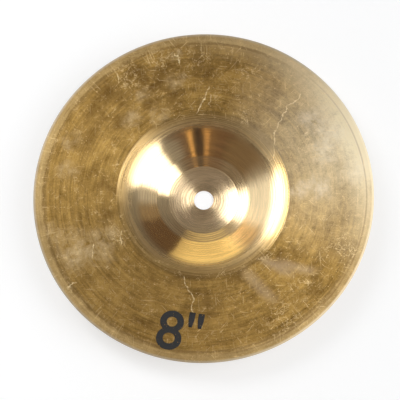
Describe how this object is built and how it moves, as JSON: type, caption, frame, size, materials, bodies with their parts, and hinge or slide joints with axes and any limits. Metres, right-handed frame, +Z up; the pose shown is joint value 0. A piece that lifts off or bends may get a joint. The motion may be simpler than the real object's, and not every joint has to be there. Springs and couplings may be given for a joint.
{
  "type": "splash cymbal",
  "caption": "Thin splash cymbal of cast bronze with a raised bell, a shallow bow and a central hole for a stand's rod, lying on its bell.",
  "frame": {"origin": "on the axis of the hole, level with the outside of the bell's crown, which is the surface that the cymbal lies on", "axes": "+Z up along the hole's axis, out of the hollow side; the cymbal is the same all round, and -Y faces the viewer of the picture"},
  "size_m": [0.2032, 0.2032, 0.0213],
  "materials": {
    "bronze": "cast bell bronze, turned on a lathe and buffed, bright in the bell and tarnished on the bow",
    "ink": "worn black screen print"
  },
  "bodies": {
    "root": {"cymbal": "bronze"}
  },
  "joints": []
}
